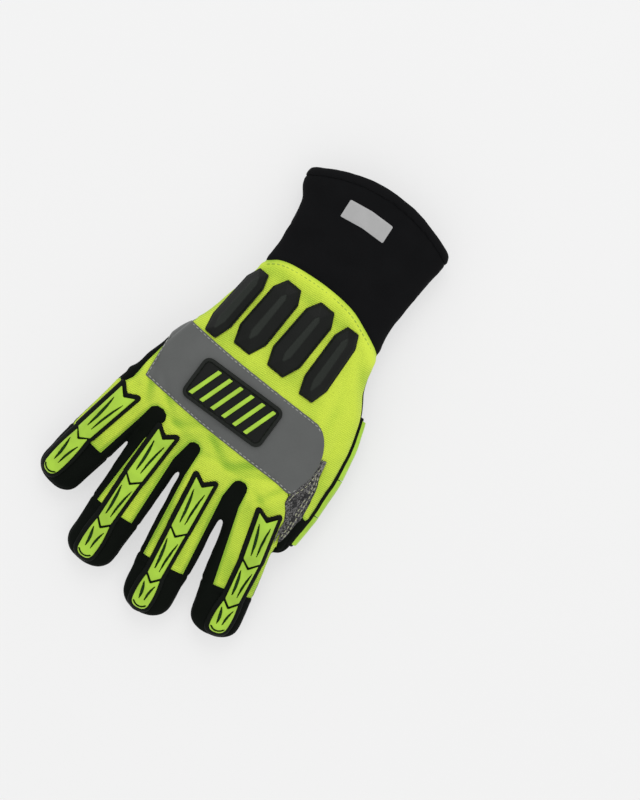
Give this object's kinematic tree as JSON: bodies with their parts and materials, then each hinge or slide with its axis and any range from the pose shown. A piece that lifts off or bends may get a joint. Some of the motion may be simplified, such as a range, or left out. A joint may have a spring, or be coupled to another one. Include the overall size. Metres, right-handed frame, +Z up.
{
  "type": "impact glove",
  "caption": "Hollow right-hand impact work glove with a long cuff, moulded finger and knuckle guards, a reflective band and gripping palm patches.",
  "frame": {"origin": "on the table, under the middle of the glove's bounding box, with the glove lying palm down", "axes": "+Y from the cuff towards the fingertips, +X towards the little finger, +Z up out of the back of the hand"},
  "size_m": [0.1562, 0.2798, 0.0408],
  "materials": {
    "knit": "fine ribbed high-visibility yellow knit, matt",
    "black_fabric": "black stretch fabric, matt",
    "neoprene": "smooth black neoprene with a fine jersey face",
    "lime_rubber": "soft moulded lime green rubber, satin",
    "black_rubber": "soft moulded black rubber, satin",
    "reflective_tape": "grey retroreflective tape, satin",
    "grip_fabric": "heather grey synthetic leather with raised grip dots",
    "label_fabric": "plain light grey woven label, blank"
  },
  "bodies": {
    "root": {"cuff": "neoprene", "cuff_hem": "neoprene", "fingertip_index": "black_fabric", "fingertip_middle": "black_fabric", "fingertip_ring": "black_fabric", "fingertip_little": "black_fabric", "thumb_tip": "black_fabric", "back_panel": "knit", "fourchette_index_middle": "black_fabric", "fourchette_middle_ring": "black_fabric", "fourchette_ring_little": "black_fabric", "palm_panel": "black_fabric", "reflective_band": "reflective_tape", "knuckle_plate": "black_rubber", "plate_bar_1": "lime_rubber", "plate_bar_2": "lime_rubber", "plate_bar_3": "lime_rubber", "plate_bar_4": "lime_rubber", "plate_bar_5": "lime_rubber", "plate_bar_6": "lime_rubber", "hand_rib_1": "black_rubber", "hand_rib_2": "black_rubber", "hand_rib_3": "black_rubber", "hand_rib_4": "black_rubber", "guard_base_index": "black_rubber", "guard_index_1": "lime_rubber", "guard_index_2": "lime_rubber", "guard_index_3": "lime_rubber", "guard_base_middle": "black_rubber", "guard_middle_1": "lime_rubber", "guard_middle_2": "lime_rubber", "guard_middle_3": "lime_rubber", "guard_base_ring": "black_rubber", "guard_ring_1": "lime_rubber", "guard_ring_2": "lime_rubber", "guard_ring_3": "lime_rubber", "guard_base_little": "black_rubber", "guard_little_1": "lime_rubber", "guard_little_2": "lime_rubber", "guard_base_thumb": "black_rubber", "guard_thumb": "lime_rubber", "palm_patch_upper": "grip_fabric", "palm_patch_middle": "grip_fabric", "palm_patch_lower": "grip_fabric", "palm_patch_index": "grip_fabric", "tip_patch_index": "grip_fabric", "tip_patch_middle": "grip_fabric", "tip_patch_ring": "grip_fabric", "tip_patch_little": "grip_fabric", "thumb_patch": "grip_fabric", "cuff_label": "label_fabric", "cuff_tag": "black_rubber", "pull_tab": "neoprene"}
  },
  "joints": []
}
